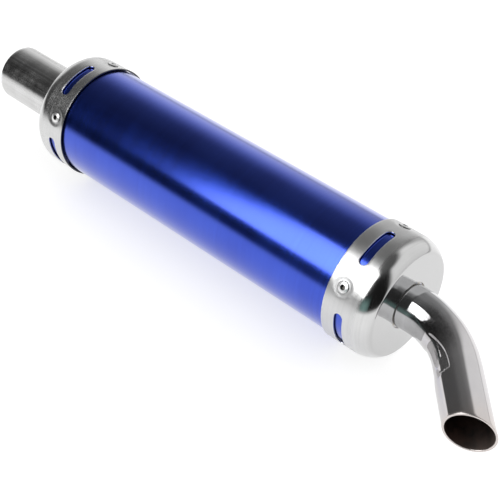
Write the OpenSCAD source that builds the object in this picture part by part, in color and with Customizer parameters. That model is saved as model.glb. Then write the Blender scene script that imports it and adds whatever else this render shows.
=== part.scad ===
// Riveted straight-through exhaust silencer with a bent, slash-cut tail pipe.
// The origin is the centre of the inlet pipe's mouth. +X runs along the can from inlet to outlet,
// +Z is up, and the tail pipe bends towards -Y.

/* [Silencer can] */
// Outside diameter of the can
can_od = 60; // [56:1:66]
// Wall thickness of the can
can_wall = 1.5; // [1:0.1:2]
// Length of the can tube
can_len = 210; // [170:1:300]

/* [End caps] */
// Sheet thickness of the pressed end caps
cap_sheet = 0.8; // [0.6:0.1:1.2]
// Gap between the can and a cap's skirt
cap_gap = 0.5; // [0.3:0.1:0.8]
// How far a skirt reaches over the can
cap_cover = 13.7; // [12:0.1:15]
// Straight length of the inlet cap's skirt
inlet_skirt = 15.5; // [15:0.5:18]
// Outside radius of the inlet cap's shoulder
inlet_shoulder = 8; // [4:0.5:10]
// Straight length of the outlet cap's skirt
outlet_skirt = 16; // [15.5:0.5:18]
// Outside radius of the outlet cap's shoulder
outlet_shoulder = 13; // [8:0.5:14]
// How far the outlet cap's flat face stands behind the full depth of its shoulder
outlet_sunk = 3.1; // [0:0.1:4]
// Turn of the inlet cap about the can, against the outlet cap
inlet_cap_turn = 6.5; // [0:0.5:45]

/* [Cooling slots] */
// Length of a slot along the skirt
slot_len = 23.4; // [16:0.2:26]
// Width of a slot
slot_width = 4.8; // [3:0.2:5]
// From the inlet cap's open edge to its slots' middle
inlet_slot_x = 8.1; // [7:0.1:9]
// From the outlet cap's open edge to its slots' middle
outlet_slot_x = 9.7; // [7:0.1:10]

/* [Blind rivets] */
// Shank diameter of a rivet
rivet_d = 3.2; // [3:0.1:3.6]
// Flange diameter of a rivet
rivet_flange_d = 6; // [5.6:0.1:6.4]
// Height of a rivet's domed flange
rivet_dome = 1; // [0.8:0.1:1.2]
// From the inlet cap's open edge to its rivets
inlet_rivet_x = 6.5; // [6:0.1:8]
// From the outlet cap's open edge to its rivets
outlet_rivet_x = 7.6; // [6:0.1:8]

/* [Inlet pipe] */
// Outside diameter of the inlet pipe
inlet_od = 31; // [29:0.5:32]
// Wall thickness of the inlet pipe
inlet_wall = 1.5; // [1.2:0.1:2]
// Length of the inlet pipe in front of its cap
inlet_stub = 49.2; // [35:0.2:70]

/* [Tail pipe] */
// Outside diameter of the tail pipe
tail_od = 22.2; // [20:0.1:23]
// Wall thickness of the tail pipe
tail_wall = 1; // [0.8:0.1:1.2]
// Straight stretch between the outlet cap and the bend
tail_lead = 4.3; // [0.5:0.1:20]
// Radius of the bend, at the pipe's middle
tail_bend_r = 45.5; // [38:0.5:60]
// Angle of the bend
tail_bend = 44.5; // [30:0.5:60]
// How much the bend's section is drawn in, at its radius
bend_draw = 0.1; // [0.1:0.1:0.4]
// Straight stretch after the bend, to the middle of the mouth
tail_end = 34.5; // [28:0.5:60]
// How far the bend leans below the horizontal
tail_droop = 12; // [0:1:45]
// Slant of the cut mouth against a square cut
mouth_slant = 24; // [0:1:40]
// Turn of the slant about the pipe, away from the bend's plane
mouth_turn = 28; // [0:1:60]

/* [Perforated core] */
// Inside diameter of the core
core_id = 27; // [25:0.5:27]
// Wall thickness of the core
core_wall = 0.8; // [0.6:0.1:1]
// Diameter of a perforation
perforation_d = 4; // [3:0.5:5]
// Distance between rows of perforations
perforation_pitch = 9; // [8:0.5:12]

/* [Hidden] */
$fn = 96;
eps = 0.01;
slip = 0.05;         // radial clearance of pipes and cores that slide together
margin = 1;          // how far a cutter runs past what it cuts

can_r = can_od / 2;
skirt_in_r = can_r + cap_gap;
skirt_r = skirt_in_r + cap_sheet;
inlet_depth = inlet_skirt + inlet_shoulder;
outlet_depth = outlet_skirt + outlet_shoulder - outlet_sunk;

// Places along the can's axis
inlet_face_x = inlet_stub;
inlet_edge_x = inlet_face_x + inlet_depth;
can_x = inlet_edge_x - cap_cover;
can_end_x = can_x + can_len;
outlet_edge_x = can_end_x - cap_cover;
outlet_face_x = outlet_edge_x + outlet_depth;

// Cooling slots and rivets take turns round each skirt, in equal steps
slot_count = 4;
slot_step = 360 / slot_count;
slot_arc = (slot_len - slot_width) / skirt_r * 180 / PI;

// Blind rivets: a dimple brings the skirt down on the can, and the flange sits in the dimple
seat_r = can_r + cap_sheet;
dimple_foot_r = rivet_flange_d / 2 + 0.3;
dimple_rim_r = dimple_foot_r + 0.7;
dimple_pad_r = dimple_rim_r + 0.3;
rivet_r = rivet_d / 2;
rivet_hole_r = rivet_r + slip;
mandrel_r = 0.95;
mandrel_head_r = 1.45;
mandrel_head_h = 1.6;
mandrel_break_r = seat_r - 0.4;   // where the broken stem ends, down inside the flange
bulb_r = 2.4;
bulb_h = 3;
bulb_top_r = can_r - can_wall;
bulb_end_r = bulb_top_r - bulb_h;
dome_sphere_r = (pow(rivet_flange_d / 2, 2) + pow(rivet_dome, 2)) / (2 * rivet_dome);

// Inlet pipe
inlet_r = inlet_od / 2;
inlet_end_x = can_x + 10.2;
weld_size = 2.6;

// Tail pipe
tail_r = tail_od / 2;
tail_hole_r = tail_r + 0.5;
tail_start_x = can_end_x - 3.5;
tail_bend_x = outlet_face_x + tail_lead;
bend_lap = 0.3;
mouth_reach = tail_r * tan(mouth_slant) + margin;

// Perforated core: a bell slips over the inlet pipe and a swaged neck over the tail pipe
core_r = core_id / 2 + core_wall;
bell_in_r = inlet_r + slip;
bell_r = bell_in_r + core_wall;
bell_len = 8;
bell_x = inlet_end_x - bell_len;
bell_cone = 2.2;
neck_in_r = tail_r + slip;
neck_r = neck_in_r + core_wall;
neck_x = tail_start_x - 0.4;
neck_len = 11;
neck_cone = 6;
perforations_per_row = 8;
perforated_from = inlet_end_x + bell_cone + 6;
perforated_to = neck_x - neck_cone - 4;
perforation_rows = floor((perforated_to - perforated_from) / perforation_pitch);

// Glass-fibre packing, between the rivets of the two ends
packing_clear = 10.6;
packing_x = can_x + packing_clear + bell_cone;
packing_len = can_len - 2 * packing_clear - bell_cone;

// ---- Helpers ----

// A solid of revolution round the X axis: the outline's x runs along the axis, its y is the radius
module turned() {
    rotate([0, 90, 0])
        rotate([0, 0, 90])
            rotate_extrude()
                rotate([0, 0, 90])
                    mirror([0, 1, 0])
                        children();
}

// A cylinder along +X from the plane x
module rod(x, length, r) {
    translate([x, 0, 0])
        rotate([0, 90, 0])
            cylinder(h = length, r = r);
}

// A tube along +X from the plane x
module tube(x, length, r_out, r_in) {
    difference() {
        rod(x, length, r_out);
        rod(x - margin, length + 2 * margin, r_in);
    }
}

// Stands its children up along the radius at x, turned by an angle from +Z towards -Y
module on_radius(x, angle) {
    translate([x, 0, 0])
        rotate([angle, 0, 0])
            children();
}

// Half section of a deep-drawn cup: open end at 0, rounded shoulder at the closed end. The flat face
// cuts the shoulder's arc off when it is sunk behind the arc's full depth
module cup_section(r, depth, shoulder, sunk) {
    difference() {
        square([depth, r]);
        translate([depth + sunk - shoulder, r - shoulder])
            difference() {
                square([shoulder + margin, shoulder + margin]);
                circle(r = shoulder);
            }
    }
}

// ---- End caps ----

// Slot with round ends, punched straight through the skirt, centred on +Z
module slot_cutter(x) {
    reach = skirt_r * sin(slot_arc / 2);
    translate([x, 0, can_r / 2])
        linear_extrude(can_r)
            union() {
                square([slot_width, 2 * reach], center = true);
                for (side = [-1, 1])
                    translate([0, side * reach])
                        circle(d = slot_width);
            }
}

// Dimpled seat for a rivet, pressed down until it touches the can
module rivet_seat(x) {
    on_radius(x, 0)
        translate([0, 0, can_r - margin])
            cylinder(h = margin + cap_gap + cap_sheet / 2, r = dimple_pad_r);
}

// Dimple and rivet hole, cut into the seat
module dimple_cutter(x) {
    on_radius(x, 0) {
        translate([0, 0, seat_r])
            cylinder(h = dimple_rim_r - dimple_foot_r, r1 = dimple_foot_r, r2 = dimple_rim_r);
        translate([0, 0, can_r - margin])
            cylinder(h = 2 * margin + cap_sheet, r = rivet_hole_r);
    }
}

// A cap with its open edge at x = 0 and its face towards +X
module cap(skirt, shoulder, sunk, hole_r, slot_x, rivet_x) {
    depth = skirt + shoulder - sunk;
    difference() {
        union() {
            turned()
                difference() {
                    cup_section(skirt_r, depth, shoulder, sunk);
                    translate([-eps, -eps])
                        cup_section(skirt_in_r + eps, depth - cap_sheet + eps, shoulder - cap_sheet, sunk);
                }
            for (i = [0:slot_count - 1])
                rotate([(i + 0.5) * slot_step, 0, 0])
                    rivet_seat(rivet_x);
        }
        rod(-margin, skirt + margin, can_r);
        rod(skirt, shoulder + margin, hole_r);
        for (i = [0:slot_count - 1])
            rotate([i * slot_step, 0, 0])
                slot_cutter(slot_x);
        for (i = [0:slot_count - 1])
            rotate([(i + 0.5) * slot_step, 0, 0])
                dimple_cutter(rivet_x);
    }
}

module inlet_cap() {
    color([0.72, 0.72, 0.73])
        translate([inlet_edge_x, 0, 0])
            rotate([tail_droop + inlet_cap_turn, 0, 0])
                mirror([1, 0, 0])
                    cap(inlet_skirt, inlet_shoulder, 0, inlet_r + slip, inlet_slot_x, inlet_rivet_x);
}

module outlet_cap() {
    color([0.80, 0.80, 0.81])
        translate([outlet_edge_x, 0, 0])
            rotate([tail_droop, 0, 0])
                cap(outlet_skirt, outlet_shoulder, outlet_sunk, tail_hole_r, outlet_slot_x, outlet_rivet_x);
}

// ---- Can, pipes and insides ----

// Tube with the eight rivet holes that the caps' rivets go through
module outer_can() {
    color([0.06, 0.12, 0.62])
        difference() {
            tube(can_x, can_len, can_r, can_r - can_wall);
            for (i = [0:slot_count - 1]) {
                on_radius(inlet_edge_x - inlet_rivet_x, inlet_rivet_angle(i))
                    rivet_hole();
                on_radius(outlet_edge_x + outlet_rivet_x, outlet_rivet_angle(i))
                    rivet_hole();
            }
        }
}

module rivet_hole() {
    translate([0, 0, can_r - can_wall - margin])
        cylinder(h = can_wall + 2 * margin, r = rivet_hole_r);
}

module inlet_pipe() {
    color([0.68, 0.68, 0.70])
        tube(0, inlet_end_x, inlet_r, inlet_r - inlet_wall);
}

// Fillet of weld outside, where the inlet pipe goes into its cap
module inlet_weld() {
    color([0.55, 0.54, 0.52])
        turned()
            translate([inlet_face_x, inlet_r])
                intersection() {
                    circle(r = weld_size);
                    translate([-weld_size, 0])
                        square([weld_size, weld_size]);
                }
}

// Fillet of weld inside the outlet cap, which closes the gap round the tail pipe
module tail_weld() {
    color([0.50, 0.48, 0.46])
        turned()
            translate([outlet_face_x - cap_sheet, tail_r])
                intersection() {
                    circle(r = weld_size);
                    translate([-weld_size, 0])
                        square([weld_size, weld_size]);
                }
}

// Lead, bend and end of the tail pipe; the straight stretches run a little way into the bend
module tail_wall_path() {
    tube(tail_start_x, tail_bend_x + bend_lap - tail_start_x, tail_r, tail_r - tail_wall);
    translate([tail_bend_x, -tail_bend_r, 0])
        rotate([0, 0, 90 - tail_bend])
            rotate_extrude(angle = tail_bend)
                translate([tail_bend_r, 0])
                    difference() {
                        circle(r = tail_r - bend_draw);
                        circle(r = tail_r - bend_draw - tail_wall);
                    }
    at_bend_end()
        difference() {
            tube(-bend_lap, bend_lap + tail_end + mouth_reach, tail_r, tail_r - tail_wall);
            mouth_cutter();
        }
}

// Moves to the end of the bend, with +X along the pipe
module at_bend_end() {
    translate([tail_bend_x + tail_bend_r * sin(tail_bend), -tail_bend_r * (1 - cos(tail_bend)), 0])
        rotate([0, 0, -tail_bend])
            children();
}

// Everything past the slanted plane of the mouth
module mouth_cutter() {
    size = 4 * tail_od;
    translate([tail_end, 0, 0])
        rotate([-mouth_turn, 0, 0])
            rotate([0, 0, -mouth_slant])
                translate([0, -size / 2, -size / 2])
                    cube(size);
}

module tail_pipe() {
    color([0.75, 0.75, 0.76])
        rotate([tail_droop, 0, 0])
            tail_wall_path();
}

// Half section of the core's tube at a given inside offset: bell, straight, cone and neck
module core_section(inset) {
    straight_x = inlet_end_x + bell_cone;
    past = inset > 0 ? margin : 0;
    polygon([
        [bell_x - past, 0],
        [bell_x - past, bell_r - inset],
        [inlet_end_x, bell_r - inset],
        [straight_x, core_r - inset],
        [neck_x - neck_cone, core_r - inset],
        [neck_x, neck_r - inset],
        [neck_x + neck_len + past, neck_r - inset],
        [neck_x + neck_len + past, 0]
    ]);
}

module perforated_core() {
    color([0.60, 0.60, 0.60])
        difference() {
            turned()
                difference() {
                    core_section(0);
                    core_section(core_wall);
                }
            for (row = [0:perforation_rows])
                for (i = [0:perforations_per_row - 1])
                    on_radius(
                        perforated_from + row * perforation_pitch,
                        (i + (row % 2) / 2) * 360 / perforations_per_row
                    )
                        translate([0, 0, core_r - 2 * core_wall])
                            cylinder(h = 3 * core_wall, r = perforation_d / 2);
        }
}

module glass_fibre_packing() {
    color([0.90, 0.87, 0.72])
        tube(packing_x, packing_len, can_r - can_wall - slip, core_r + slip);
}

// ---- Rivets ----

function outlet_rivet_angle(i) = tail_droop + (i + 0.5) * slot_step;
function inlet_rivet_angle(i) = outlet_rivet_angle(i) + inlet_cap_turn;

// Set blind rivet, its flange up: domed flange, hollow shank and the bulb pulled up inside the can
module rivet_body() {
    difference() {
        union() {
            intersection() {
                translate([0, 0, seat_r + rivet_dome - dome_sphere_r])
                    sphere(r = dome_sphere_r);
                translate([0, 0, seat_r])
                    cylinder(h = rivet_dome + margin, r = rivet_flange_d / 2);
            }
            translate([0, 0, bulb_end_r])
                cylinder(h = seat_r - bulb_end_r, r = rivet_r);
            difference() {
                translate([0, 0, bulb_end_r])
                    cylinder(h = bulb_h, r1 = rivet_r, r2 = bulb_r);
                rotate([0, 90, 0])
                    tube(-bulb_h, 2 * bulb_h, can_r, bulb_top_r);
            }
        }
        translate([0, 0, bulb_end_r - margin])
            cylinder(h = seat_r + rivet_dome - bulb_end_r + 2 * margin, r = mandrel_r + slip / 2);
    }
}

// What stays in a set rivet: the mandrel's head and its broken stem
module mandrel() {
    translate([0, 0, bulb_end_r - mandrel_head_h])
        cylinder(h = mandrel_head_h, r1 = mandrel_head_r - 0.5, r2 = mandrel_head_r);
    translate([0, 0, bulb_end_r - eps])
        cylinder(h = mandrel_break_r - bulb_end_r, r = mandrel_r);
}

module inlet_rivet(i) {
    color([0.82, 0.82, 0.83])
        on_radius(inlet_edge_x - inlet_rivet_x, inlet_rivet_angle(i))
            rivet_body();
}

module outlet_rivet(i) {
    color([0.82, 0.82, 0.83])
        on_radius(outlet_edge_x + outlet_rivet_x, outlet_rivet_angle(i))
            rivet_body();
}

module inlet_mandrel(i) {
    color([0.35, 0.34, 0.33])
        on_radius(inlet_edge_x - inlet_rivet_x, inlet_rivet_angle(i))
            mandrel();
}

module outlet_mandrel(i) {
    color([0.35, 0.34, 0.33])
        on_radius(outlet_edge_x + outlet_rivet_x, outlet_rivet_angle(i))
            mandrel();
}

outer_can();
inlet_cap();
outlet_cap();
inlet_pipe();
tail_pipe();
perforated_core();
glass_fibre_packing();
inlet_weld();
tail_weld();
inlet_rivet(0);  // inlet_rivet_1
inlet_rivet(1);  // inlet_rivet_2
inlet_rivet(2);  // inlet_rivet_3
inlet_rivet(3);  // inlet_rivet_4
outlet_rivet(0);  // outlet_rivet_1
outlet_rivet(1);  // outlet_rivet_2
outlet_rivet(2);  // outlet_rivet_3
outlet_rivet(3);  // outlet_rivet_4
inlet_mandrel(0);  // inlet_mandrel_1
inlet_mandrel(1);  // inlet_mandrel_2
inlet_mandrel(2);  // inlet_mandrel_3
inlet_mandrel(3);  // inlet_mandrel_4
outlet_mandrel(0);  // outlet_mandrel_1
outlet_mandrel(1);  // outlet_mandrel_2
outlet_mandrel(2);  // outlet_mandrel_3
outlet_mandrel(3);  // outlet_mandrel_4
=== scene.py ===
import math

import bmesh
import bpy
from mathutils import Matrix, Vector, noise
from mathutils.geometry import delaunay_2d_cdt


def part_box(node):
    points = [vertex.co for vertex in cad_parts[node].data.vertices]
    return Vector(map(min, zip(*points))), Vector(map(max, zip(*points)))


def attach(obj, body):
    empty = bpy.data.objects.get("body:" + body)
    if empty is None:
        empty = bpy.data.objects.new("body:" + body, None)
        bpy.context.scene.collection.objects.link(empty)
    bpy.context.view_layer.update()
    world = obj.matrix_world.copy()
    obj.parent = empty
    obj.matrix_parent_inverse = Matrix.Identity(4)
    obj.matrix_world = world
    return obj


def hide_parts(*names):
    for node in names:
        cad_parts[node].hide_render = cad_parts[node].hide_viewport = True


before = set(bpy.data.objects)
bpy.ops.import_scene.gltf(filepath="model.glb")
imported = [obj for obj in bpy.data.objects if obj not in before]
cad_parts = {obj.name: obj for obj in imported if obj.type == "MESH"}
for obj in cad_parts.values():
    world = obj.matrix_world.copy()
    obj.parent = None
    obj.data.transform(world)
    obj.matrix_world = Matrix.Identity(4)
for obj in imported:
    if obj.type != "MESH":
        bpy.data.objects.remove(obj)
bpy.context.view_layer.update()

# Exhaust silencer: riveted blue can, pressed caps, straight inlet pipe and bent chrome tail pipe.
# Everything is in metres in the CAD frame: +X along the can from inlet to outlet, +Z up.
# Angles round the can are turned from +Z towards -Y.

MM = 0.001
TURN = math.tau


def to_tenth(value):
    """A length from the meshed CAD, to the nearest 0.1 mm."""
    return round(value, 4)


# ---- Sizes ----

# Places come from the CAD's nodes. Small sizes repeat the CAD's, unless a comment says otherwise.
CAN_X = to_tenth(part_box("outer_can")[0].x)
CAN_END_X = to_tenth(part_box("outer_can")[1].x)
CAN_R = to_tenth(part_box("outer_can")[1].z)
CAN_WALL = 1.5 * MM

SKIRT_R = to_tenth(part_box("outlet_cap")[1].z)
SHEET = 0.8 * MM
INLET_FACE_X = to_tenth(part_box("inlet_cap")[0].x)
INLET_EDGE_X = to_tenth(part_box("inlet_cap")[1].x)
OUTLET_EDGE_X = to_tenth(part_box("outlet_cap")[0].x)
OUTLET_FACE_X = to_tenth(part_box("outlet_cap")[1].x)
INLET_SHOULDER = 8 * MM
OUTLET_SHOULDER = 13 * MM
OUTLET_SUNK = 3.1 * MM

# Finer than in the CAD: a soft crease round the face, a slight ripple, and shallow, soft dimples.
CREASE_R = 1.2 * MM
RIPPLE = 0.02 * MM
RIPPLE_LEN = 14 * MM
DIMPLE_FOOT_R = 3.3 * MM
DIMPLE_RIM_R = 5.7 * MM
DIMPLE_DEPTH = 0.25 * MM

SLOT_LEN = 23.4 * MM
SLOT_WIDTH = 4.8 * MM
INLET_SLOT_X = 8.1 * MM
OUTLET_SLOT_X = 9.7 * MM
PER_CAP = 4
STEP_ROUND = TURN / PER_CAP

RIVET_HOLE_R = 1.65 * MM
FLANGE_R = 3 * MM
FLANGE_SEAT_R = SKIRT_R - DIMPLE_DEPTH + 0.02 * MM
SHEET_SEAT_R = CAN_R + SHEET
MANDREL_R = 0.95 * MM
STEM_BORE_R = MANDREL_R + 0.03 * MM
BULB_LEN = 3 * MM
MOUTH_R = 1.3 * MM

INLET_PIPE_R = to_tenth(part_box("inlet_pipe")[1].z)
INLET_PIPE_END_X = to_tenth(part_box("inlet_pipe")[1].x)
INLET_PIPE_WALL = 1.5 * MM
WELD = 2.6 * MM

TAIL_X = to_tenth(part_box("tail_pipe")[0].x)
TAIL_R = 11.1 * MM
TAIL_WALL = 1 * MM
TAIL_HOLE_R = 12.0 * MM  # wider than in the CAD, for the dark gap round the pipe
BEND_X = OUTLET_FACE_X + 4.3 * MM
BEND_R = 45.5 * MM
BEND = math.radians(44.5)
DROOP = math.radians(12)
TAIL_END = 34.5 * MM
MOUTH_SLANT = math.radians(24)
MOUTH_TURN = math.radians(28)

# The tube bender's traces, which the CAD leaves out.
MARK_DEPTH = 0.48 * MM
MARK_END = 43.4 * MM
OUTSIDE_FLAT = 0.45 * MM
NARROWING = 0.045
NARROWING_LEN = 6 * MM
WRINKLE = 0.03 * MM
WRINKLE_LEN = 1.3 * MM

PACKING_INNER_R = 14.5 * MM  # a little wider than in the CAD, as the mat's inner side is lumpy


def polar(x, r, angle):
    """The point at x along the can and radius r, turned by angle from +Z towards -Y."""
    return Vector((x, -r * math.sin(angle), r * math.cos(angle)))


def middle(node):
    low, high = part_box(node)
    return (low + high) / 2


def angle_of(node):
    """How far round the can a node's middle stands."""
    centre = middle(node)
    return math.atan2(-centre.y, centre.z)


def smooth_step(low, high, value):
    t = min(max((value - low) / (high - low), 0), 1)
    return t * t * (3 - 2 * t)


# ---- Mesh helpers ----

class Shape:
    """Growing vertices and faces. Each vertex has an edge value, 1 on an edge and 0 on a plain face; on
    the rivets it is 1 where shade is painted on the foot and the mouth.
    """

    def __init__(self):
        self.points, self.wear_and_shade, self.faces, self.slots = [], [], [], []

    def add(self, points, wear_and_shade=0.0):
        first = len(self.points)
        self.points += points
        self.wear_and_shade += [wear_and_shade] * len(points)
        return list(range(first, len(self.points)))

    def face(self, corners, slot=0):
        self.faces.append(corners)
        self.slots.append(slot)

    def bridge(self, ring_a, ring_b, closed=True, slot=0):
        """Quads between two rows of the same length."""
        count = len(ring_a)
        for i in range(count if closed else count - 1):
            j = (i + 1) % count
            self.face((ring_a[i], ring_a[j], ring_b[j], ring_b[i]), slot)

    def lid(self, ring, slot=0):
        self.face(tuple(ring), slot)

    def turned_copies(self, count):
        """Repeats everything round the X axis."""
        points, wear_and_shade = list(self.points), list(self.wear_and_shade)
        faces, slots = list(self.faces), list(self.slots)
        for k in range(1, count):
            turn = Matrix.Rotation(k * TURN / count, 3, "X")
            first = len(self.points)
            self.points += [turn @ p for p in points]
            self.wear_and_shade += wear_and_shade
            self.faces += [tuple(first + i for i in f) for f in faces]
            self.slots += slots


def new_object(name, data):
    made = bpy.data.objects.new(name, data)
    bpy.context.scene.collection.objects.link(made)
    return made


def make_piece(name, shape, materials, nodes, sharp=50, flow=None):
    """Turns a shape into an object that rides on the frame in place of its CAD nodes."""
    mesh = bpy.data.meshes.new(name)
    mesh.from_pydata(shape.points, [], shape.faces)
    for material in materials:
        mesh.materials.append(material)
    mesh.polygons.foreach_set("material_index", shape.slots)
    wear_and_shade = mesh.attributes.new("wear_and_shade", "FLOAT", "POINT")
    wear_and_shade.data.foreach_set("value", shape.wear_and_shade)
    if flow:
        along = mesh.attributes.new("flow", "FLOAT_VECTOR", "POINT")
        along.data.foreach_set("vector", [c for v in flow for c in v])
    work = bmesh.new()
    work.from_mesh(mesh)
    bmesh.ops.remove_doubles(work, verts=work.verts, dist=1e-7)
    bmesh.ops.recalc_face_normals(work, faces=work.faces)
    work.to_mesh(mesh)
    work.free()
    mesh.shade_smooth()
    mesh.set_sharp_from_angle(angle=math.radians(sharp))
    piece = new_object(name, mesh)
    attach(piece, "root")
    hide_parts(*nodes)
    return piece


def turned(profile, place, steps, wear_and_shade=None):
    """A closed outline of (along, radius) swept right round; place() maps along, radius and angle."""
    shape = Shape()
    rings = []
    for i, (along, radius) in enumerate(profile):
        ring = [place(along, radius, TURN * k / steps) for k in range(steps)]
        rings.append(shape.add(ring, wear_and_shade[i] if wear_and_shade else 0.0))
    for a, b in zip(rings, rings[1:] + rings[:1]):
        shape.bridge(a, b)
    return shape


def quarter_round(radius, steps):
    """Offsets (inset, depth) of a rounded edge, from the surface to the wall."""
    for i in range(steps + 1):
        turn = math.pi / 2 * i / steps
        yield radius * (1 - math.sin(turn)), radius * (1 - math.cos(turn))


# ---- Punched sheet: a tube or a pressed cap with holes and dimples ----

class Slot:
    """A hole with round ends in the unrolled sheet; a reach of 0 makes it round."""

    def __init__(self, u, w, radius, reach=0.0, steps=10):
        self.u, self.w, self.radius, self.reach, self.steps = u, w, radius, reach, steps

    def distance(self, u, w):
        """From the hole's edge, and below 0 inside."""
        beyond = max(abs(w - self.w) - self.reach, 0)
        return math.hypot(u - self.u, beyond) - self.radius

    def outline(self, offset):
        """Points round the hole, set back from its edge by offset."""
        r = self.radius + offset
        points = []
        for side in (1, -1):
            for i in range(self.steps + 1):
                turn = math.pi * i / self.steps
                along = self.reach + r * math.sin(turn)
                points.append((self.u + side * r * math.cos(turn), self.w + side * along))
            straight = int(self.reach / (0.8 * MM))
            for i in range(1, straight):
                run = self.reach * (1 - 2 * i / straight)
                points.append((self.u - side * r, self.w + side * run))
        if self.reach == 0:
            points = [p for i, p in enumerate(points) if i not in (self.steps, 2 * self.steps + 1)]
        return points


def punched_sheet(section, place, rows, columns, thickness, holes, relief, details, edges):
    """One sector of a sheet, repeated round the can.

    section(u) gives x, radius and the normal's two parts, and place(x, radius, w) gives the point.
    rows and columns are the grid's u and w values, relief(u, w) is how deep the sheet is pressed in,
    details are extra rings of points for dimples, and edges are the rounding radii at the first and
    last row.
    """
    shape = Shape()
    lip = 0.2 * MM
    spacing = columns[1] - columns[0]
    hole_gap = lip + 0.45 * spacing
    detail_gap = 0.35 * spacing

    def at(u, w, depth):
        x, r, nx, nr = section(u)
        depth = depth + relief(u, w)
        return place(x - depth * nx, r - depth * nr, w)

    def through(radius, steps):
        """Offsets (inset, depth) down a cut edge that is rounded on both faces of the sheet."""
        rounding = list(quarter_round(radius, steps))
        return rounding + [(inset, thickness - depth) for inset, depth in reversed(rounding)]

    guides = [p for ring in details for p in ring]
    spots = [Vector(d) for d in guides]

    def near(points, u, w):
        return [s for s in points if abs(s.x - u) < spacing and abs(s.y - w) < spacing]

    def is_free(u, w):
        """False where a grid point would stand in a hole or too close to a finer point."""
        if w in (columns[0], columns[-1]) or u in (rows[0], rows[-1]):
            return True
        if any(h.distance(u, w) < hole_gap for h in holes):
            return False
        return all((s.x - u) ** 2 + (s.y - w) ** 2 > detail_gap ** 2 for s in near(spots, u, w))

    flat = [(u, w) for u in rows for w in columns if is_free(u, w)] + guides
    wires = []
    for hole in holes:
        outline = hole.outline(lip)
        first = len(flat)
        flat += outline
        count = len(outline)
        wires += [(first + i, first + (i + 1) % count) for i in range(count)]
    made = delaunay_2d_cdt([Vector(p) for p in flat], wires, [], 0, 1e-9)
    spread = [(v.x, v.y) for v in made[0]]
    triangles = []
    for tri in made[2]:
        u = sum(spread[i][0] for i in tri) / 3
        w = sum(spread[i][1] for i in tri) / 3
        if all(h.distance(u, w) > lip * 0.9 for h in holes):
            triangles.append(tri)
    for depth in (0.0, thickness):
        first = shape.add([at(u, w, depth) for u, w in spread])[0]
        for tri in triangles:
            shape.face(tuple(first + i for i in tri))

    for hole in holes:
        rings = []
        for inset, depth in through(lip, 3):
            rings.append(shape.add([at(u, w, depth) for u, w in hole.outline(inset)], 1.0))
        for a, b in zip(rings, rings[1:]):
            shape.bridge(a, b)

    for u_edge, sign, radius in ((rows[0], -1, edges[0]), (rows[-1], 1, edges[1])):
        strips = []
        for inset, depth in through(radius, 4):
            u = u_edge + sign * (radius - inset)
            strips.append(shape.add([at(u, w, depth) for w in columns], 1.0))
        for a, b in zip(strips, strips[1:]):
            shape.bridge(a, b, closed=False)
    shape.turned_copies(PER_CAP)
    return shape


def spaced(start, end, step):
    """Even values from start to end, both included."""
    count = max(1, round((end - start) / step))
    return [start + (end - start) * i / count for i in range(count + 1)]


class CapProfile:
    """Outside of a pressed cap along its length u: skirt, round shoulder, soft crease, flat face."""

    def __init__(self, depth, shoulder, sunk):
        self.depth, self.shoulder = depth, shoulder
        self.skirt = depth + sunk - shoulder
        self.centre_r = SKIRT_R - shoulder
        self.arc = math.asin((depth - self.skirt - CREASE_R) / (shoulder - CREASE_R))
        self.crease_x = self.skirt + (shoulder - CREASE_R) * math.sin(self.arc)
        self.crease_r = self.centre_r + (shoulder - CREASE_R) * math.cos(self.arc)
        self.crease_u = self.skirt + shoulder * self.arc
        self.face_u = self.crease_u + CREASE_R * (math.pi / 2 - self.arc)

    def at(self, u):
        """Gives x, radius and the normal's two parts."""
        if u <= self.skirt:
            return u, SKIRT_R, 0.0, 1.0
        if u <= self.crease_u:
            x, r, size = self.skirt, self.centre_r, self.shoulder
            turn = (u - self.skirt) / size
        elif u <= self.face_u:
            x, r, size = self.crease_x, self.crease_r, CREASE_R
            turn = self.arc + (u - self.crease_u) / size
        else:
            return self.depth, self.crease_r - (u - self.face_u), 1.0, 0.0
        return x + size * math.sin(turn), r + size * math.cos(turn), math.sin(turn), math.cos(turn)

    def past_shoulder(self, x, r):
        """Distance along the sheet from where the flat face starts."""
        if x <= self.skirt:
            return x - self.face_u
        if r < self.crease_r:
            return self.crease_r - r
        turn = math.atan2(x - self.skirt, r - self.centre_r)
        if turn < self.arc:
            return self.skirt + self.shoulder * turn - self.face_u
        turn = math.atan2(x - self.crease_x, r - self.crease_r)
        return CREASE_R * (turn - math.pi / 2)


def dimple_rings(u, w):
    """Staggered rings of points that give a rivet dimple its shape."""
    count = 40
    radii = [2.1 * MM, 2.6 * MM] + spaced(3 * MM, DIMPLE_RIM_R, 0.3 * MM)
    rings = []
    for i, radius in enumerate(radii):
        turns = [TURN * (k + 0.5 * (i % 2)) / count for k in range(count)]
        rings.append([(u + radius * math.cos(turn), w + radius * math.sin(turn)) for turn in turns])
    return rings


def pressed(distance):
    """How deep the sheet is pressed in at a distance from a rivet's middle."""
    return DIMPLE_DEPTH * (1 - smooth_step(DIMPLE_FOOT_R, DIMPLE_RIM_R, distance))


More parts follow.
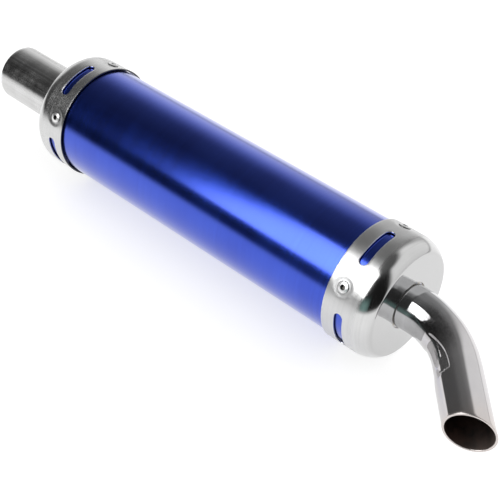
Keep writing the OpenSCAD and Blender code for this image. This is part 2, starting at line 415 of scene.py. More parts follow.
def build_cap(name, edge_x, way, shoulder, sunk, hole_r, slot_x, rivet_node, material):
    """A cap whose open edge stands at edge_x, with a way of +1 when its face points along +X."""
    depth = (OUTLET_FACE_X - OUTLET_EDGE_X) if way > 0 else (INLET_EDGE_X - INLET_FACE_X)
    profile = CapProfile(depth, shoulder, sunk)
    skirt, face_u = profile.skirt, profile.face_u
    rivet_x = abs(middle(rivet_node).x - edge_x)
    rivet_w = -SKIRT_R * STEP_ROUND / 2
    slot_angle = angle_of(rivet_node) + STEP_ROUND / 2
    edge_round = 0.15 * MM
    hole_round = 0.2 * MM
    last_u = face_u + (profile.crease_r - hole_r) - hole_round
    # The seam between two sectors stands clear of the slots and the dimples.
    seam_w = SKIRT_R * math.radians(29.2)
    columns = spaced(seam_w - SKIRT_R * STEP_ROUND, seam_w, 0.8 * MM)
    rows = spaced(edge_round, skirt, 0.9 * MM)[:-1]
    rows += spaced(skirt, profile.crease_u, 0.7 * MM)[:-1]
    rows += spaced(profile.crease_u, face_u, 0.4 * MM)[:-1] + spaced(face_u, last_u, 0.9 * MM)
    holes = [
        Slot(slot_x, 0.0, SLOT_WIDTH / 2, (SLOT_LEN - SLOT_WIDTH) / 2),
        Slot(rivet_x, rivet_w, RIVET_HOLE_R, steps=12),
    ]

    def relief(u, w):
        return pressed(math.hypot(u - rivet_x, w - rivet_w))

    def place(x, r, w):
        angle = slot_angle + w / SKIRT_R
        point = polar(edge_x + way * x, r, angle)
        ripple = smooth_step(0, 6 * MM, x) * (1 - smooth_step(skirt, profile.crease_x, x))
        dip = RIPPLE * ripple * (1 + noise.noise(point / RIPPLE_LEN)) / 2
        return point - Vector((0, point.y, point.z)).normalized() * dip

    def flow_at(point):
        """Distance past the start of the flat face, measured along the sheet, with y and z."""
        past = profile.past_shoulder(way * (point.x - edge_x), math.hypot(point.y, point.z))
        return past, point.y, point.z

    dimple = dimple_rings(rivet_x, rivet_w)
    edges = (edge_round, hole_round)
    shape = punched_sheet(profile.at, place, rows, columns, SHEET, holes, relief, dimple, edges)
    flow = [flow_at(p) for p in shape.points]
    return make_piece(name, shape, [material], [name], flow=flow)


def build_can(material):
    """The can: a drilled tube with softly broken ends."""
    sector_start = angle_of("outlet_rivet_1") - STEP_ROUND / 2
    columns = spaced(0, CAN_R * STEP_ROUND, 0.8 * MM)
    edge_round = 0.3 * MM
    length = CAN_END_X - CAN_X
    holes = []
    for node in ("inlet_rivet_1", "outlet_rivet_1"):
        u = middle(node).x - CAN_X
        holes.append(Slot(u, CAN_R * (angle_of(node) - sector_start), RIVET_HOLE_R, steps=12))
    rows = [edge_round] + spaced(2 * MM, 14 * MM, 1 * MM) + spaced(20 * MM, length - 20 * MM, 6 * MM)
    rows += spaced(length - 14 * MM, length - 2 * MM, 1 * MM) + [length - edge_round]

    def section(u):
        return u, CAN_R, 0.0, 1.0

    def place(x, r, w):
        return polar(CAN_X + x, r, sector_start + w / CAN_R)

    shape = punched_sheet(
        section, place, rows, columns, CAN_WALL, holes, lambda u, w: 0.0, [], (edge_round, edge_round)
    )
    return make_piece("outer_can", shape, [material], ["outer_can"])


# ---- Pipes ----

def build_inlet_pipe(material):
    """The straight tube, with a rounded mouth and a plain inner end."""
    outer, inner = INLET_PIPE_R, INLET_PIPE_R - INLET_PIPE_WALL
    lip = 0.45 * MM
    profile, wear_and_shade = [], []
    for inset, depth in reversed(list(quarter_round(lip, 4))):
        profile.append((inset, outer - depth))
        wear_and_shade.append(1.0)
    for x in spaced(2 * MM, INLET_PIPE_END_X - 1 * MM, 8 * MM):
        profile.append((x, outer))
        wear_and_shade.append(0.0)
    end = INLET_PIPE_END_X
    for x, r in ((end - 0.1 * MM, outer), (end, outer - 0.1 * MM), (end, inner)):
        profile.append((x, r))
        wear_and_shade.append(1.0)
    for x in spaced(end - 1 * MM, 2 * MM, 8 * MM):
        profile.append((x, inner))
        wear_and_shade.append(0.0)
    for inset, depth in quarter_round(lip, 4):
        profile.append((inset, inner + depth))
        wear_and_shade.append(1.0)
    shape = turned(profile, polar, 240, wear_and_shade)
    return make_piece("inlet_pipe", shape, [material], ["inlet_pipe"])


def mark_border(s):
    """Angle of the step that borders the bender's mark, at a distance s along the bend."""
    return math.radians(44 + 25 * smooth_step(17 * MM, 41 * MM, s) ** 0.75)


def tail_radius(s, theta, base):
    """Outer or inner radius of the tail pipe, where theta is 0 on the inner side of the bend.

    The bender left a shallow stepped mark on the inner side, which ends abruptly past the bend. The
    outer side is drawn a little flat, the pipe narrows slightly where the bend starts, and fine
    wrinkles stand where the mark starts.
    """
    theta = abs((theta + math.pi) % TURN - math.pi)
    share = theta / mark_border(s)
    step = 0.14 - 0.05 * smooth_step(22 * MM, 38 * MM, s)
    dent = MARK_DEPTH * (1 - smooth_step(-step / 2, step / 2, theta - mark_border(s)))
    end = MARK_END - 1.2 * MM * min(share, 1.2) ** 7
    fade = 0.8 * MM + 7 * MM * (1 - smooth_step(0.35, 0.75, share))
    dent *= 1 - smooth_step(end - fade * 0.5, end + fade * 0.5, s)
    dent *= smooth_step(17.5 * MM, 23.5 * MM, s)
    stretch = smooth_step(2 * MM, 16 * MM, s) * (1 - smooth_step(26 * MM, 42 * MM, s))
    flattened = OUTSIDE_FLAT * stretch * max(-math.cos(theta), 0) ** 2
    drawn = min(max(s - 0.5 * MM, 0), NARROWING_LEN)
    narrowed = NARROWING * (drawn - drawn * drawn / (2 * NARROWING_LEN))
    narrowed *= 1 - smooth_step(16 * MM, 40 * MM, s)
    wrinkled = smooth_step(16 * MM, 20 * MM, s) * (1 - smooth_step(23 * MM, 29 * MM, s))
    wrinkled *= smooth_step(0.85, 1.1, theta) * (1 - smooth_step(1.6, 1.9, theta))
    wrinkle = noise.noise(Vector((s / WRINKLE_LEN, theta * 8, 4)))
    return base - dent - flattened - narrowed - WRINKLE * wrinkled * (1 + wrinkle)


def build_tail_pipe(chrome, soot):
    """Lead, bend and slash-cut end of the tail pipe, with the marks of a tube bender."""
    around = 320
    thetas = [TURN * k / around for k in range(around)]
    bend_len = BEND_R * BEND
    cos_slant, sin_slant = math.cos(MOUTH_SLANT), math.sin(MOUTH_SLANT)
    cut = Vector((cos_slant, -sin_slant * math.cos(MOUTH_TURN), sin_slant * math.sin(MOUTH_TURN)))
    end_turn = Matrix.Rotation(-BEND, 3, "Z")
    droop = Matrix.Rotation(DROOP, 3, "X")

    def on_arc(turn):
        return Vector((BEND_X + BEND_R * math.sin(turn), -BEND_R * (1 - math.cos(turn)), 0))

    def on_path(s):
        """Middle of the pipe and its direction's turn at a distance s after the start of the bend."""
        if s <= 0:
            return Vector((BEND_X + s, 0, 0)), Matrix.Identity(3)
        if s < bend_len:
            return on_arc(s / BEND_R), Matrix.Rotation(-s / BEND_R, 3, "Z")
        return on_arc(BEND) + end_turn @ Vector((s - bend_len, 0, 0)), end_turn

    def point(s, theta, radius):
        centre, turn = on_path(s)
        off = Vector((0, -radius * math.cos(theta), radius * math.sin(theta)))
        return droop @ (centre + turn @ off)

    def mouth_at(theta, radius):
        """Where the cut plane meets the pipe's wall, as a distance from the start of the bend."""
        off = cut.y * -radius * math.cos(theta) + cut.z * radius * math.sin(theta)
        return bend_len + TAIL_END - off / cut.x

    last_even = bend_len + 20 * MM
    stations = spaced(TAIL_X - BEND_X, -1 * MM, 3 * MM) + spaced(0, 14 * MM, 0.5 * MM)
    stations += spaced(14.5 * MM, 40 * MM, 0.5 * MM) + spaced(40.3 * MM, 45.1 * MM, 0.3 * MM)
    stations += spaced(46 * MM, last_even, 1.5 * MM)
    to_mouth = spaced(0, 1, 1 / 8)[1:]
    shape, flow = Shape(), []
    lip = 0.28 * MM

    def add_ring(spots, wear_and_shade=0.0):
        """Adds a ring from a distance s and a radius for each angle."""
        ring = []
        for theta, (s, radius) in zip(thetas, spots):
            ring.append(point(s, theta, radius))
            flow.append((s, radius * math.cos(theta), radius * math.sin(theta)))
        return shape.add(ring, wear_and_shade)

    def wall(base, slot):
        rings = []
        for s in stations:
            rings.append(add_ring([(s, tail_radius(s, theta, base)) for theta in thetas]))
        ends = [mouth_at(theta, base) - lip for theta in thetas]
        for share in to_mouth:
            spots = [(last_even + (end - last_even) * share, base) for end in ends]
            rings.append(add_ring(spots, 1.0 if share == 1 else 0.0))
        for a, b in zip(rings, rings[1:]):
            shape.bridge(a, b, slot=slot)
        return rings

    inner = TAIL_R - TAIL_WALL
    outside = wall(TAIL_R, 0)
    inside = wall(inner, 1)
    lip_rings = [outside[-1]]
    edge = list(quarter_round(lip, 4))[1:]
    rounding = [(TAIL_R - depth, lip - inset) for inset, depth in edge]
    rounding += [(inner + depth, lip - inset) for inset, depth in reversed(edge)]
    for radius, ahead in rounding:
        spots = [(mouth_at(theta, radius) - lip + ahead, radius) for theta in thetas]
        lip_rings.append(add_ring(spots, 1.0))
    lip_rings.append(inside[-1])
    for a, b in zip(lip_rings, lip_rings[1:]):
        shape.bridge(a, b)
    shape.bridge(inside[0], outside[0])
    return make_piece("tail_pipe", shape, [chrome, soot], ["tail_pipe"], flow=flow)


# ---- Weld beads ----

def build_weld(name, corner_x, radius, size, ripples, material):
    """A laid bead in the corner between a pipe and a cap's face, with overlapping ripples."""
    shape = Shape()
    around, across = ripples * 8, 9
    rings = []
    for k in range(around):
        angle = TURN * k / around
        row = [polar(corner_x, radius, angle)]
        spot = Vector((math.cos(angle) * 4, math.sin(angle) * 4, corner_x * 90))
        wander = 1 + 0.05 * noise.noise(spot)
        for j in range(across):
            turn = math.pi / 2 * j / (across - 1)
            bulge = math.sin(2 * turn)
            phase = (ripples * k / around + 0.55 * bulge) % 1
            crown = 0.86 + 0.1 * bulge + 0.045 * (1 - phase) ** 0.7 * (0.4 + bulge)
            reach = size * min(crown * wander, 1)
            row.append(polar(corner_x - reach * math.cos(turn), radius + reach * math.sin(turn), angle))
        rings.append(shape.add(row))
    for a, b in zip(rings, rings[1:] + rings[:1]):
        shape.bridge(a, b)
    return make_piece(name, shape, [material], [name], sharp=40)


# ---- Rivets ----

def rivet_place(x, angle):
    """Maps height above the axis, radius and turn to a point on a rivet that stands at x and angle.

    From the sheet upwards the rivet follows the can's curve.
    """
    turn = Matrix.Rotation(angle, 3, "X")

    def place(height, radius, phi):
        side = radius * math.sin(phi)
        in_head = smooth_step(SHEET_SEAT_R - 1 * MM, SHEET_SEAT_R, height)
        sag = side * side / (2 * SHEET_SEAT_R) * in_head
        point = turn @ Vector((0, side, height - sag)) + Vector((x, 0, 0))
        return point + Vector((radius * math.cos(phi), 0, 0))

    return place


def build_rivet(name, material):
    """A set blind rivet: low dome, foot and mouth painted near black as shade, shank, and the bulb
    behind the can's wall.
    """
    bulb_top = CAN_R - CAN_WALL
    base = FLANGE_SEAT_R
    outline = [
        (base, FLANGE_R - 0.1 * MM),
        (base + 0.05 * MM, FLANGE_R - 0.02 * MM),
        (base + 0.12 * MM, FLANGE_R - 0.01 * MM),
        (base + 0.19 * MM, FLANGE_R - 0.06 * MM),
    ]
    dome_r = FLANGE_R - 0.1 * MM
    for i in range(1, 11):
        radius = dome_r - i / 10 * (dome_r - MOUTH_R)
        rise = 0.24 * MM + 0.48 * MM * math.cos(math.pi / 2 * (radius / FLANGE_R) ** 1.3)
        outline.append((base + rise, radius))
    dome_end = len(outline)
    outline += [
        (base + 0.55 * MM, MOUTH_R - 0.07 * MM),
        (base + 0.3 * MM, MOUTH_R - 0.12 * MM),
        (base - 0.1 * MM, STEM_BORE_R),
        (bulb_top - BULB_LEN, STEM_BORE_R),
        (bulb_top - BULB_LEN, 1.5 * MM),
        (bulb_top - 2.6 * MM, 1.95 * MM),
        (bulb_top - 1.9 * MM, 2.3 * MM),
        (bulb_top - 1.1 * MM, 2.38 * MM),
        (bulb_top - 0.5 * MM, 2.1 * MM),
        (bulb_top - 0.15 * MM, 1.62 * MM),
        (base - 0.05 * MM, 1.6 * MM),
        (base, 1.75 * MM),
    ]
    # Painted shade: the flange's foot ring and the mouth take the near-black edge colour, for the gap
    # round the flange and the hole in the middle.
    foot_shade, mouth_shade = [1.0, 1.0, 1.0, 0.9, 0.5, 0.2], [1.0] * 4
    painted_shade = foot_shade + [0.0] * (dome_end - len(foot_shade)) + mouth_shade
    painted_shade += [0.0] * (len(outline) - len(painted_shade))
    place = rivet_place(middle(name).x, angle_of(name))
    shape = turned(outline, place, 64, painted_shade)
    return make_piece(name, shape, [material], [name], sharp=60)


def build_mandrel(name, material):
    """What is left of the mandrel: its head under the bulb and the torn end of its stem."""
    low = CAN_R - CAN_WALL - BULB_LEN
    torn = SHEET_SEAT_R - 0.42 * MM
    outline = [
        (low - 1.6 * MM, 0.0),
        (low - 1.6 * MM, 0.75 * MM),
        (low - 1.5 * MM, 0.98 * MM),
        (low - 0.35 * MM, 1.42 * MM),
        (low - 0.1 * MM, 1.42 * MM),
        (low, 1.3 * MM),
        (low, MANDREL_R),
        (torn - 0.5 * MM, MANDREL_R),
        (torn - 0.2 * MM, 0.86 * MM),
        (torn, 0.68 * MM),
        (torn + 0.02 * MM, 0.42 * MM),
        (torn - 0.12 * MM, 0.2 * MM),
        (torn - 0.18 * MM, 0.0),
    ]
    place = rivet_place(middle(name).x, angle_of(name))
    seed = middle(name) * 40

    def rough(height, radius, phi):
        """Makes the torn end uneven."""
        jag = noise.noise(Vector((math.cos(phi), math.sin(phi), height * 900)) + seed)
        return place(height + 0.12 * MM * jag * (height > torn - 0.3 * MM) * (radius > 0), radius, phi)

    shape = turned(outline, rough, 32)
    return make_piece(name, shape, [material], [name], sharp=60)


# ---- Packing ----

def build_packing(material):
    """The glass fibre mat, rolled round the core in four layers with a lumpy surface."""
    low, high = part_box("glass_fibre_packing")
    inner, outer = PACKING_INNER_R, high.z - 0.15 * MM
    layers, per_turn, along = 4, 60, 44
    last = layers * per_turn
    pitch = (outer - inner) / layers
    shape = Shape()
    rows = []
    for i in range(last + 1):
        angle = TURN * i / per_turn
        round_by = math.cos(angle) * 4 + math.sin(angle) * 4
        base = inner + pitch * max(i / per_turn - 1, 0) * layers / (layers - 1)
        full = pitch * 0.9 * smooth_step(0, per_turn * 0.2, i)
        thick = full * (1 - smooth_step(last - 0.15 * per_turn, last, i)) + 0.15 * MM
        row = []
        for side in (0, 1):
            stations = range(along + 1) if side == 0 else range(along, -1, -1)
            for j in stations:
                x = low.x + (high.x - low.x) * j / along
                lump = noise.noise(Vector((x / (9 * MM), base / (3 * MM) + side * 7, round_by)))
                end = 0.6 * MM * noise.noise(Vector((angle * 3, base / (2 * MM), j)))
                inset = (0.7 * MM + end) * ((j == 0) - (j == along))
                r = base + thick * side + (0.22 * MM * lump if 0 < j < along else 0)
                row.append(polar(x + inset, min(max(r, inner - 0.1 * MM), outer), angle))
        rows.append(shape.add(row))
    for a, b in zip(rows, rows[1:]):
        shape.bridge(a, b)
    shape.lid(rows[0])
    shape.lid(rows[-1])
    node = "glass_fibre_packing"
    piece = make_piece(node, shape, [material], [node], sharp=70)
    return piece


# ---- Materials ----

class Nodes:
    """Short names for building a node tree."""

    def __init__(self, tree):
        self.tree = tree

    def add(self, kind, values=None, **settings):
        node = self.tree.nodes.new(kind)
        for key, value in settings.items():
            setattr(node, key, value)
        for key, value in (values or {}).items():
            socket = node.inputs[key]
            if isinstance(value, bpy.types.NodeSocket):
                self.tree.links.new(value, socket)
            else:
                socket.default_value = value
        return node

    def math(self, operation, a, b=0.0, clamp=False):
        node = self.add("ShaderNodeMath", {0: a, 1: b}, operation=operation)
        node.use_clamp = clamp
        return node.outputs[0]

    def ramp(self, value, low, high, out_low=0.0, out_high=1.0, smooth=False):
        kind = "SMOOTHSTEP" if smooth else "LINEAR"
        values = {0: value, 1: low, 2: high, 3: out_low, 4: out_high}
        return self.add("ShaderNodeMapRange", values, interpolation_type=kind).outputs[0]

    def blend(self, share, a, b):
        node = self.add("ShaderNodeMix", {0: share, 6: a, 7: b}, data_type="RGBA")
        return node.outputs[2]

    def scaled(self, vector, scale):
        return self.add("ShaderNodeMapping", {"Vector": vector, "Scale": scale}).outputs[0]

    def noise(self, vector, scale, detail, rough):
        values = {"Vector": vector, "Scale": scale, "Detail": detail, "Roughness": rough}
        return self.add("ShaderNodeTexNoise", values).outputs[0]

    def wear_and_shade(self):
        return self.add("ShaderNodeAttribute", attribute_name="wear_and_shade").outputs["Fac"]

    def flow(self):
        return self.add("ShaderNodeAttribute", attribute_name="flow").outputs["Vector"]

    def parts(self, vector):
        return self.add("ShaderNodeSeparateXYZ", {0: vector}).outputs

    def object_place(self):
        return self.add("ShaderNodeTexCoord").outputs["Object"]

    def bump(self, height, distance):
        values = {"Height": height, "Distance": distance, "Strength": 1.0}
        return self.add("ShaderNodeBump", values).outputs[0]


def new_material(name):
    """A material with an empty Principled shader; gives the material, its nodes and the shader."""
    material = bpy.data.materials.new(name)
    material.use_nodes = True
    tree = material.node_tree
    tree.nodes.clear()
    nodes = Nodes(tree)
    shader = nodes.add("ShaderNodeBsdfPrincipled")
    output = nodes.add("ShaderNodeOutputMaterial")
    tree.links.new(shader.outputs[0], output.inputs[0])
    return material, nodes, shader


def plug(nodes, shader, **values):
    """Sets or links the shader's sockets; underscores stand for spaces."""
    for key, value in values.items():
        socket = shader.inputs[key.replace("_", " ")]
        if isinstance(value, bpy.types.NodeSocket):
            nodes.tree.links.new(value, socket)
        else:
            socket.default_value = value


def grey(level, warm=0.0):
    return (level * (1 + warm), level, level * (1 - warm), 1)


# How often a noise repeats along X, Y and Z for lines that run along the part.
LONG_LINES = (7, 620, 620)


def metal(name, dark, light, roughness, lines, line_depth, haze=0.06, edge=None):
    """A worked metal: lines or grain, a cloudy haze, and smoother edges in a colour of their own, which
    on the rivets is painted shade.
    """
    material, n, shader = new_material(name)
    where = n.object_place()
    streaks = n.noise(n.scaled(where, lines), 1.0, 3.0, 0.65)
    clouds = n.noise(where, 75.0, 3.0, 0.55)
    specks = n.noise(where, 900.0, 2.0, 0.6)
    tone = n.math("ADD", n.math("MULTIPLY", streaks, 0.55), n.math("MULTIPLY", clouds, 0.45))
    colour = n.blend(n.ramp(tone, 0.32, 0.68), dark, light)
    hazy = n.ramp(clouds, 0.35, 0.7, roughness, roughness + haze)
    rough = n.math("ADD", hazy, n.ramp(streaks, 0.3, 0.7, 0.0, haze * 0.7))
    if edge:
        # On the rivets this edge colour is near black: painted shade on the flange's foot and in the
        # mouth.
        edge_wear_and_shade = n.math("MULTIPLY", n.wear_and_shade(), n.ramp(specks, 0.3, 0.6, 0.5, 1.0))
        colour = n.blend(edge_wear_and_shade, colour, edge)
        rough = n.math("SUBTRACT", rough, n.math("MULTIPLY", edge_wear_and_shade, roughness * 0.3), clamp=True)
    height = n.math("ADD", streaks, n.math("MULTIPLY", specks, 0.25))
    plug(n, shader, Metallic=1.0, Base_Color=colour, Roughness=rough, Normal=n.bump(height, line_depth))
    return material


# Where the painted shade on the inlet cap's sheared edge starts, in flow distance: its rim is painted
# near black. The outlet cap ends before it.
EDGE_SHADE_START = -27.9 * MM


def pressed_steel(name, skirt_roughness):
    """Bright pressed sheet: brushed and mottled on the skirt, close to a mirror on the face."""
    material, n, shader = new_material(name)
    where = n.flow()
    along = n.parts(where)[0]
    polish = n.ramp(along, -11.5 * MM, -7.5 * MM, smooth=True)
    flat = n.ramp(along, -4 * MM, 0.0, smooth=True)
    rings = n.noise(n.scaled(where, (1300, 14, 14)), 1.0, 3.0, 0.65)
    clouds = n.noise(where, 70.0, 3.0, 0.55)
    mottle = n.noise(where, 750.0, 3.0, 0.6)
    tone = n.math("ADD", n.math("MULTIPLY", rings, 0.5), n.math("MULTIPLY", clouds, 0.5))
    colour = n.blend(n.ramp(tone, 0.32, 0.68), grey(0.57), grey(0.66))
    edge_wear_and_shade = n.math("MULTIPLY", n.wear_and_shade(), n.ramp(mottle, 0.3, 0.6, 0.5, 1.0))
    colour = n.blend(edge_wear_and_shade, colour, grey(0.68))
    matt = n.ramp(mottle, 0.3, 0.7, skirt_roughness, skirt_roughness + 0.06)
    brushed = n.math("ADD", matt, n.ramp(rings, 0.3, 0.7, 0.0, 0.05))
    mirror = n.math("ADD", n.ramp(clouds, 0.35, 0.7, 0.07, 0.12), n.ramp(flat, 0.0, 1.0, 0.05, 0.0))
    skirt = n.math("SUBTRACT", 1.0, polish)
    rough = n.math("ADD", n.math("MULTIPLY", brushed, skirt), n.math("MULTIPLY", mirror, polish))
    colour = n.blend(n.math("MULTIPLY", flat, 0.9), colour, grey(0.53))
    # Painted shade: the inlet cap's open rim is painted near black.
    painted_edge_shade = n.ramp(along, EDGE_SHADE_START - 0.05 * MM, EDGE_SHADE_START + 0.05 * MM, 1.0, 0.0)
    colour = n.blend(painted_edge_shade, colour, grey(0.1))
    height = n.math("ADD", rings, n.math("MULTIPLY", n.math("MULTIPLY", mottle, skirt), 0.6))
    plug(n, shader, Metallic=1.0, Base_Color=colour, Roughness=rough, Normal=n.bump(height, 0.007 * MM))
    return material


def anodised_blue():
    """Dyed, sealed aluminium: deep blue metal under a clear satin oxide, paler on edges rubbed bare."""
    material, n, shader = new_material("anodised_blue")
    where = n.object_place()
    rings = n.noise(n.scaled(where, (1100, 9, 9)), 1.0, 3.0, 0.6)
    clouds = n.noise(where, 38.0, 3.0, 0.5)
    grain = n.noise(where, 2600.0, 2.0, 0.6)
    tone = n.math("ADD", n.math("MULTIPLY", rings, 0.5), n.math("MULTIPLY", clouds, 0.5))
    dye = n.blend(n.ramp(tone, 0.3, 0.7), (0.017, 0.055, 0.48, 1), (0.027, 0.080, 0.58, 1))
    edge_wear_and_shade = n.math("MULTIPLY", n.wear_and_shade(), n.ramp(clouds, 0.45, 0.65, 0.25, 0.9))
    colour = n.blend(edge_wear_and_shade, dye, (0.45, 0.5, 0.68, 1))
    satin = n.ramp(clouds, 0.35, 0.7, 0.17, 0.21)
    rough = n.math("ADD", satin, n.ramp(rings, 0.3, 0.7, 0.0, 0.04))
    height = n.math("ADD", rings, n.math("MULTIPLY", grain, 0.5))
    plug(
        n, shader, Metallic=1.0, Base_Color=colour, Roughness=rough, Normal=n.bump(height, 0.004 * MM),
        Coat_Weight=0.8, Coat_Roughness=0.16, Coat_IOR=1.5,
    )
    return material


def chromed():
    """Bright chrome with faint draw lines, a dark reflection painted on the top of the bend and a tint
    at the hot mouth.
    """
    material, n, shader = new_material("tail_chrome")
    where = n.flow()
    lines = n.noise(n.scaled(where, (20, 500, 500)), 1.0, 3.0, 0.6)
    clouds = n.noise(where, 130.0, 4.0, 0.6)
    pits = n.noise(where, 1400.0, 2.0, 0.5)
    along, inward, upward = n.parts(where)
    top = n.ramp(inward, -3.5 * MM, 0.5 * MM, smooth=True)
    top = n.math("MULTIPLY", top, n.ramp(upward, 5 * MM, 8.5 * MM))
    bend_end = n.ramp(along, 24 * MM, 38 * MM, 1.0, 0.0, smooth=True)
    bent = n.math("MULTIPLY", n.ramp(along, 4 * MM, 12 * MM), bend_end)
    # Painted dark reflection: the top of the bend is painted near black, mottled by the pits.
    painted_dark_reflection = n.math("MULTIPLY", n.math("MULTIPLY", top, bent), n.ramp(pits, 0.35, 0.65, 0.55, 0.85))
    colour = n.blend(n.ramp(clouds, 0.35, 0.65), (0.58, 0.58, 0.59, 1), (0.65, 0.65, 0.66, 1))
    brown = n.ramp(along, 10 * MM, 24 * MM, 0.0, 0.6, smooth=True)
    colour = n.blend(brown, colour, (0.58, 0.555, 0.56, 1))
    colour = n.blend(painted_dark_reflection, colour, (0.13, 0.125, 0.127, 1))
    heat = n.ramp(along, 52 * MM, 76 * MM, smooth=True)
    heat = n.math("MULTIPLY", heat, n.ramp(clouds, 0.3, 0.65, 0.35, 1.0))
    colour = n.blend(heat, colour, (0.62, 0.56, 0.53, 1))
    edge_wear_and_shade = n.wear_and_shade()
    colour = n.blend(n.math("MULTIPLY", edge_wear_and_shade, 0.75), colour, (0.62, 0.57, 0.55, 1))
    rough = n.math("ADD", n.ramp(clouds, 0.35, 0.72, 0.035, 0.11), n.math("MULTIPLY", edge_wear_and_shade, 0.2))
    height = n.math("ADD", n.math("MULTIPLY", lines, 0.6), n.math("MULTIPLY", pits, 0.4))
    plug(n, shader, Metallic=0.94, Base_Color=colour, Roughness=rough, Normal=n.bump(height, 0.003 * MM))
    return material


def sooted():
    """Brown-black exhaust soot inside the tail pipe."""
    material, n, shader = new_material("soot")
    where = n.flow()
    clouds = n.noise(where, 160.0, 4.0, 0.6)
    grain = n.noise(where, 2200.0, 3.0, 0.6)
    along = n.parts(where)[0]
    deep = n.blend(n.ramp(clouds, 0.35, 0.65), (0.012, 0.008, 0.007, 1), (0.045, 0.024, 0.018, 1))
    rim = n.blend(n.ramp(clouds, 0.3, 0.7), (0.06, 0.045, 0.038, 1), (0.12, 0.09, 0.075, 1))
    colour = n.blend(n.ramp(along, 66 * MM, 76 * MM, smooth=True), deep, rim)
    plug(
        n, shader, Metallic=0.35, Base_Color=colour, Roughness=n.ramp(clouds, 0.3, 0.7, 0.5, 0.8),
        Normal=n.bump(n.math("ADD", clouds, grain), 0.05 * MM), Specular_IOR_Level=0.3,
    )
    return material


def fibre():
    """Packed glass fibre: pale, matted strands."""
    material, n, shader = new_material("glass_fibre")
    where = n.object_place()
    strands = n.noise(n.scaled(where, (180, 900, 900)), 1.0, 5.0, 0.7)
    crossing = n.noise(n.scaled(where, (900, 160, 300)), 1.0, 5.0, 0.7)
    mat = n.math("MAXIMUM", strands, crossing)
    colour = n.blend(n.ramp(mat, 0.4, 0.75), (0.62, 0.52, 0.30, 1), (0.90, 0.86, 0.72, 1))
    plug(
        n, shader, Base_Color=colour, Roughness=0.85, Normal=n.bump(mat, 0.25 * MM),
        Sheen_Weight=0.4, Sheen_Roughness=0.5,
    )
    return material


def weld_metal():
    """Weld bead with straw and blue heat tint."""
    material, n, shader = new_material("weld_metal")
    where = n.object_place()
    clouds = n.noise(where, 420.0, 3.0, 0.6)
    grain = n.noise(where, 3000.0, 2.0, 0.5)
    steel = n.blend(n.ramp(clouds, 0.4, 0.55), (0.46, 0.42, 0.36, 1), (0.56, 0.55, 0.54, 1))
    colour = n.blend(n.ramp(clouds, 0.56, 0.68), steel, (0.26, 0.28, 0.42, 1))
    plug(
        n, shader, Metallic=1.0, Base_Color=colour, Roughness=n.ramp(grain, 0.3, 0.7, 0.28, 0.45),
        Normal=n.bump(grain, 0.02 * MM),
    )
    return material


# ---- Stage, lights and camera ----

def pale_floor():
    """A plain pale light table under the skirts, dimmer far away."""
    mesh = bpy.data.meshes.new("floor")
    half = 4.0
    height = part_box("outlet_cap")[0].z
    corners = [(x * half, y * half, height) for x, y in ((-1, -1), (1, -1), (1, 1), (-1, 1))]
    mesh.from_pydata(corners, [], [(0, 1, 2, 3)])
    floor = new_object("floor", mesh)
    material, n, shader = new_material("floor_white")
    ends = {0: n.object_place(), 1: (0.2, 0, height)}
    away = n.add("ShaderNodeVectorMath", ends, operation="DISTANCE").outputs["Value"]
    fade = n.ramp(away, 0.4, 0.9, 1.0, 0.42, smooth=True)
    glow = n.math("MULTIPLY", fade, 0.67)
    plug(
        n, shader, Base_Color=n.blend(fade, grey(0), grey(0.55)), Roughness=0.9, Specular_IOR_Level=0.1,
        Emission_Color=grey(1), Emission_Strength=glow,
    )
    mesh.materials.append(material)


def direction(azimuth, elevation):
    """Unit vector from degrees: azimuth turns from +X towards +Y, elevation is above the horizon."""
    a, e = math.radians(azimuth), math.radians(elevation)
    return Vector((math.cos(a) * math.cos(e), math.sin(a) * math.cos(e), math.sin(e)))


def softbox():
    """The main light: a nearly square softbox high on the tail's side, which only glossy rays see."""
    aim = Vector((0.2, -0.02, 0))
    toward = direction(-107.5, 45.1)
    distance = 0.86
    light = bpy.data.lights.new("softbox", "AREA")
    light.shape = "RECTANGLE"
    light.size, light.size_y = 0.665, 0.74
    light.energy = 6.1
    lamp = new_object("softbox", light)
    side = Vector((0, 0, 1)).cross(toward).normalized()
    up = Vector((0.21, 0.68, 0.71))
    lamp.location = aim + toward * distance - side * 0.007 + up * 0.02
    roll = Matrix.Rotation(math.radians(1.6), 3, "Z").to_quaternion()
    lamp.rotation_euler = (toward.to_track_quat("Z", "Y") @ roll).to_euler()
    lamp.visible_diffuse = False


def overhead():
    """A wide, even light from above that glossy rays don't see."""
    light = bpy.data.lights.new("overhead", "SUN")
    light.angle = math.radians(140)
    light.energy = 2.0
    lamp = new_object("overhead", light)
    lamp.visible_glossy = False


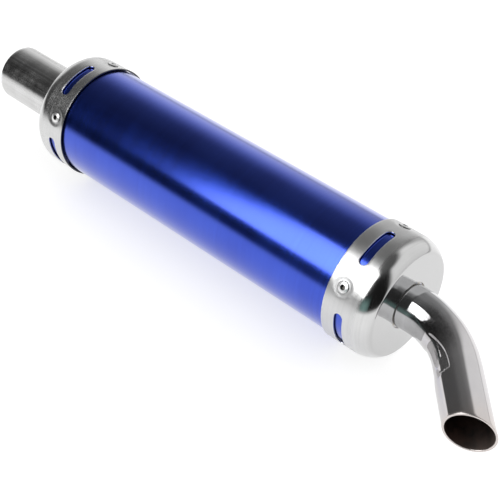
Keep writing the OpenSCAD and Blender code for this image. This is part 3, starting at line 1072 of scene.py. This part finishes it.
def studio():
    """Dim room: a pale wall past the outlet, a bright sweep behind, and glows below the softbox."""
    world = bpy.data.worlds.new("studio")
    bpy.context.scene.world = world
    world.use_nodes = True
    world.node_tree.nodes.clear()
    n = Nodes(world.node_tree)
    x, y, z = n.parts(n.add("ShaderNodeTexCoord").outputs["Generated"])
    # Both angles are in degrees, and the azimuth runs from -60 to 300.
    turned_by = n.math("MULTIPLY", n.math("ARCTAN2", y, x), 180 / math.pi)
    azimuth = n.math("SUBTRACT", n.math("FLOORED_MODULO", n.math("ADD", turned_by, 60.0), 360.0), 60.0)
    elevation = n.math("MULTIPLY", n.math("ARCSINE", z), 180 / math.pi)

    def panel(brightness, az_from, az_to, top, soft, top_soft):
        """A bright field from az_from to az_to and from straight down up to top, with soft edges."""
        left = n.ramp(azimuth, az_from - soft, az_from + soft, smooth=True)
        right = n.ramp(azimuth, az_to - soft, az_to + soft, 1.0, 0.0, smooth=True)
        below = n.ramp(elevation, top - top_soft, top + top_soft, 1.0, 0.0, smooth=True)
        inside = n.math("MULTIPLY", n.math("MULTIPLY", left, right), below)
        return n.math("MULTIPLY", inside, brightness)

    wall = panel(0.96, az_from=-8, az_to=96, top=63, soft=9, top_soft=8)
    sweep_start = panel(0.3, az_from=96, az_to=118, top=22, soft=7, top_soft=14)
    sweep = n.math("ADD", sweep_start, panel(0.92, az_from=118, az_to=176, top=26, soft=7, top_soft=19))
    back = panel(1.0, az_from=96, az_to=205, top=66, soft=10, top_soft=10)
    back = n.math("MULTIPLY", back, n.ramp(azimuth, 110, 190, 0.22, 0.05))
    ceiling = n.math("MULTIPLY", n.ramp(elevation, 50, 80, smooth=True), 0.1)
    under_box = panel(0.5, az_from=246, az_to=263, top=11, soft=5, top_soft=8)
    sea_green = panel(0.3, az_from=268, az_to=296, top=18, soft=8, top_soft=9)
    light = n.math("ADD", wall, 0.01)
    for part in (sweep, back, ceiling, under_box, sea_green):
        light = n.math("ADD", light, part)
    tint = n.blend(n.math("DIVIDE", sea_green, light), (1, 1, 1, 1), (0.6, 1, 0.93, 1))
    background = n.add("ShaderNodeBackground", {"Strength": light, "Color": tint})
    output = n.add("ShaderNodeOutputWorld")
    world.node_tree.links.new(background.outputs[0], output.inputs[0])


def camera():
    """The photograph's viewing angle: from the outlet's side, well above, with a longish lens."""
    data = bpy.data.cameras.new("camera")
    data.lens = 83.47
    data.sensor_width = 36
    eye = new_object("camera", data)
    target = Vector((0.2026, -0.0221, 0))
    back = direction(-46.6, 41.6)
    distance = 0.5566
    eye.location = target + back * distance
    eye.rotation_mode = "QUATERNION"
    eye.rotation_quaternion = back.to_track_quat("Z", "Y")
    data.clip_start, data.clip_end = 0.01, 50
    bpy.context.scene.camera = eye


# ---- Build ----

blue = anodised_blue()
inlet_steel = pressed_steel("inlet_cap_steel", 0.2)
outlet_steel = pressed_steel("outlet_cap_steel", 0.28)
pipe_steel = metal(
    "pipe_steel", grey(0.44, 0.01), grey(0.70), 0.13, LONG_LINES, 0.012 * MM, haze=0.12, edge=grey(0.8)
)
core_steel = metal("core_steel", grey(0.38, 0.05), grey(0.52, 0.03), 0.3, LONG_LINES, 0.01 * MM)
# The near-black edge colour paints shade on the rivets' foot ring and mouth.
rivet_metal = metal(
    "rivet_metal", grey(0.76), grey(0.86), 0.3, (300, 300, 300), 0.004 * MM, edge=grey(0.03)
)
mandrel_steel = metal(
    "mandrel_steel", grey(0.10, 0.1), grey(0.22, 0.06), 0.42, (700, 700, 700), 0.02 * MM
)
weld = weld_metal()

build_can(blue)
build_cap(
    "inlet_cap", edge_x=INLET_EDGE_X, way=-1, shoulder=INLET_SHOULDER, sunk=0,
    hole_r=INLET_PIPE_R + 0.05 * MM, slot_x=INLET_SLOT_X, rivet_node="inlet_rivet_1",
    material=inlet_steel,
)
build_cap(
    "outlet_cap", edge_x=OUTLET_EDGE_X, way=1, shoulder=OUTLET_SHOULDER, sunk=OUTLET_SUNK,
    hole_r=TAIL_HOLE_R, slot_x=OUTLET_SLOT_X, rivet_node="outlet_rivet_1", material=outlet_steel,
)
build_inlet_pipe(pipe_steel)
build_tail_pipe(chromed(), sooted())
build_weld("inlet_weld", INLET_FACE_X, INLET_PIPE_R, WELD, 76, weld)
build_weld("tail_weld", OUTLET_FACE_X - SHEET, TAIL_R, WELD, 56, weld)
build_packing(fibre())
for end in ("inlet", "outlet"):
    for number in range(1, PER_CAP + 1):
        build_rivet(f"{end}_rivet_{number}", rivet_metal)
        build_mandrel(f"{end}_mandrel_{number}", mandrel_steel)

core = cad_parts["perforated_core"]
core.data.materials.clear()
core.data.materials.append(core_steel)

pale_floor()
softbox()
overhead()
studio()
camera()
bpy.context.scene.view_settings.view_transform = "Standard"
